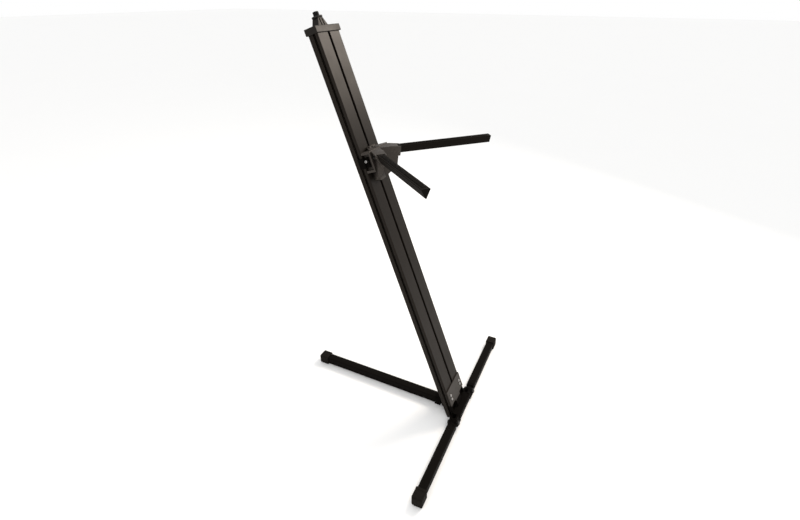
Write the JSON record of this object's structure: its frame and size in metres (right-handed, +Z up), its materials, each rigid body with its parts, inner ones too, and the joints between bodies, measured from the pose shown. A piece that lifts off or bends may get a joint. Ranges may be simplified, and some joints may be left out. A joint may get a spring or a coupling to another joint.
{
  "type": "column keyboard stand",
  "caption": "Folding column keyboard stand: slotted leaning column, two side legs, long rear leg, sliding bracket with three-sided arms and a boom stud on top.",
  "frame": {"origin": "on the floor, under the middle of the whole stand's box", "axes": "+Z up; +X to the right seen from the front, along the side legs; +Y to the rear, along the rear leg"},
  "size_m": [0.691, 0.5598, 1.1853],
  "materials": {
    "anodised_column": "black anodised, satin, faint drawing lines",
    "anodised_arm": "black anodised, satin",
    "cast_black": "black powder coat on a casting, fine texture",
    "painted_tube": "black powder coat, semi-matt",
    "moulded_plastic": "moulded black plastic, fine grain",
    "black_rubber": "matt black rubber",
    "black_steel": "black oxide",
    "bright_steel": "bright zinc"
  },
  "bodies": {
    "column": {"column_extrusion": "anodised_column", "top_cap": "moulded_plastic", "top_cap_screws": "black_steel", "boom_mount_bracket": "cast_black", "boom_stud": "black_steel", "base_hub": "cast_black", "front_cover": "moulded_plastic", "front_cover_screws": "black_steel", "rear_hinge_bracket": "cast_black", "rear_bracket_bolts": "black_steel", "side_pivot_bolts": "black_steel", "side_pivot_nuts": "black_steel", "side_pivot_washers": "black_steel", "rear_pivot_bolt": "black_steel", "rear_pivot_nut": "black_steel", "rear_pivot_washers": "black_steel"},
    "left_leg": {"left_leg_knuckle": "cast_black", "left_leg_tube": "painted_tube", "left_leg_roll_pin": "black_steel", "left_foot_cap": "black_rubber"},
    "right_leg": {"right_leg_knuckle": "cast_black", "right_leg_tube": "painted_tube", "right_leg_roll_pin": "black_steel", "right_foot_cap": "black_rubber"},
    "rear_leg": {"rear_leg_knuckle": "cast_black", "rear_leg_tube": "painted_tube", "rear_leg_roll_pin": "black_steel", "rear_foot_cap": "black_rubber"},
    "tier": {"tier_bracket": "cast_black", "arm_set_screws": "black_steel", "slot_key": "moulded_plastic", "slot_key_screws": "black_steel", "left_clamp_jaw": "cast_black", "right_clamp_jaw": "cast_black", "clamp_jaw_screws": "bright_steel"},
    "left_arm": {"left_arm": "anodised_arm", "left_arm_grip": "black_rubber", "left_arm_cap": "moulded_plastic"},
    "right_arm": {"right_arm": "anodised_arm", "right_arm_grip": "black_rubber", "right_arm_cap": "moulded_plastic"},
    "lock_nut": {"boom_lock_nut": "black_steel"}
  },
  "joints": [
    {"name": "right_leg_fold", "type": "hinge", "parent": "column", "child": "right_leg", "pos_m": [0.07, -0.26078, 0.0159], "axis": [0, -0.9409, 0.3387], "range_deg": [0, 90]},
    {"name": "left_leg_fold", "type": "hinge", "parent": "column", "child": "left_leg", "pos_m": [-0.07, -0.26078, 0.0159], "axis": [0, 0.9409, -0.3387], "range_deg": [0, 90]},
    {"name": "rear_leg_fold", "type": "hinge", "parent": "column", "child": "rear_leg", "pos_m": [0, -0.20647, 0.0159], "axis": [1, 0, 0], "range_deg": [0, 70.2]},
    {"name": "tier_height", "type": "slide", "parent": "column", "child": "tier", "axis": [0, 0.3387, 0.9409], "range_m": [-0.45, 0.29]},
    {"name": "left_arm_pull", "type": "slide", "parent": "tier", "child": "left_arm", "axis": [-0.6531, -0.7566, 0.0323], "range_m": [0, 0.035]},
    {"name": "right_arm_pull", "type": "slide", "parent": "tier", "child": "right_arm", "axis": [0.6531, -0.7566, 0.0323], "range_m": [0, 0.035]},
    {"name": "lock_nut_spin", "type": "hinge", "parent": "column", "child": "lock_nut", "pos_m": [0, 0.17875, 1.16781], "axis": [0, 0.3387, 0.9409], "continuous": true}
  ]
}
